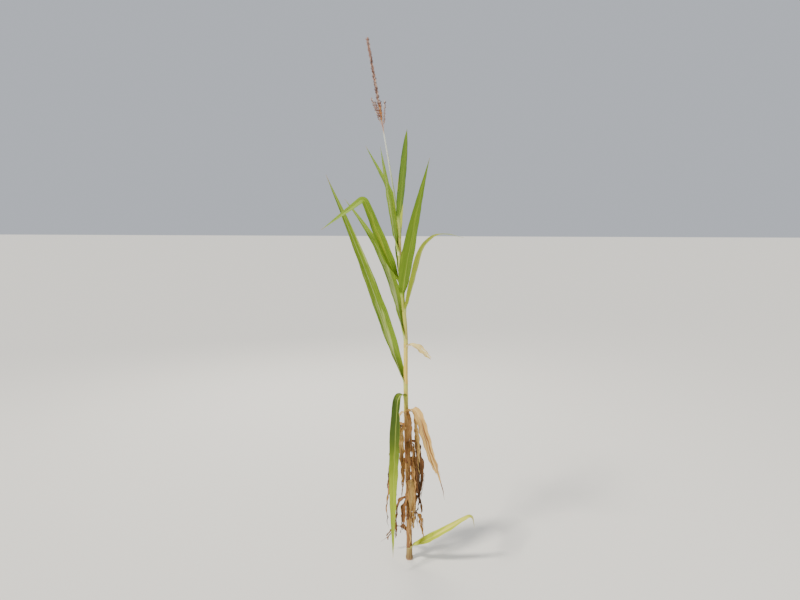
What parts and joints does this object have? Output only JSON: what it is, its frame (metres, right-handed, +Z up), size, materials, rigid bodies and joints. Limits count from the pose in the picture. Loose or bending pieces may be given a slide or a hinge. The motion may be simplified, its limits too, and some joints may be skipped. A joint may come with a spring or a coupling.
{
  "type": "maize plant",
  "caption": "Tall maize plant in late summer: a slim leaning stalk with strap leaves, green above and dried below, under a thin dry tassel; stands on a flat cut at ground level.",
  "frame": {"origin": "middle of the flat cut under the stalk, at ground level", "axes": "+Z up from the ground; the stalk leans towards -X and a viewer stands on the -Y side"},
  "size_m": [0.726, 0.6678, 2.3802],
  "materials": {
    "stalk": "smooth cane with rings at its joints, pale at the top and tan at the foot",
    "green_leaf": "ribbed green leaf with a pale midrib and a soft sheen",
    "yellowing_leaf": "ribbed leaf turning from green to yellow",
    "dry_leaf": "dull dry leaf, straw to brown, torn and curled",
    "tassel": "dull dry flower spikes, reddish tan"
  },
  "bodies": {
    "root": {"stalk": "stalk", "green_leaf_1_hanging": "green_leaf", "green_leaf_2": "green_leaf", "green_leaf_3": "green_leaf", "green_leaf_4_arching": "green_leaf", "green_leaf_5": "green_leaf", "green_leaf_6_folded": "green_leaf", "green_leaf_7": "green_leaf", "green_leaf_8": "green_leaf", "green_leaf_10_flag": "green_leaf", "green_leaf_low": "yellowing_leaf", "green_leaf_9": "yellowing_leaf", "dry_leaf_1": "dry_leaf", "dry_leaf_2": "dry_leaf", "dry_leaf_3": "dry_leaf", "dry_leaf_4": "dry_leaf", "dry_leaf_5": "dry_leaf", "dry_leaf_6": "dry_leaf", "dry_leaf_7": "dry_leaf", "dry_leaf_8": "dry_leaf", "dry_leaf_9_torn": "dry_leaf", "tassel_spike": "tassel", "tassel_branch_1": "tassel", "tassel_branch_2": "tassel", "tassel_branch_3": "tassel", "tassel_branch_4": "tassel", "tassel_branch_5": "tassel"}
  },
  "joints": []
}
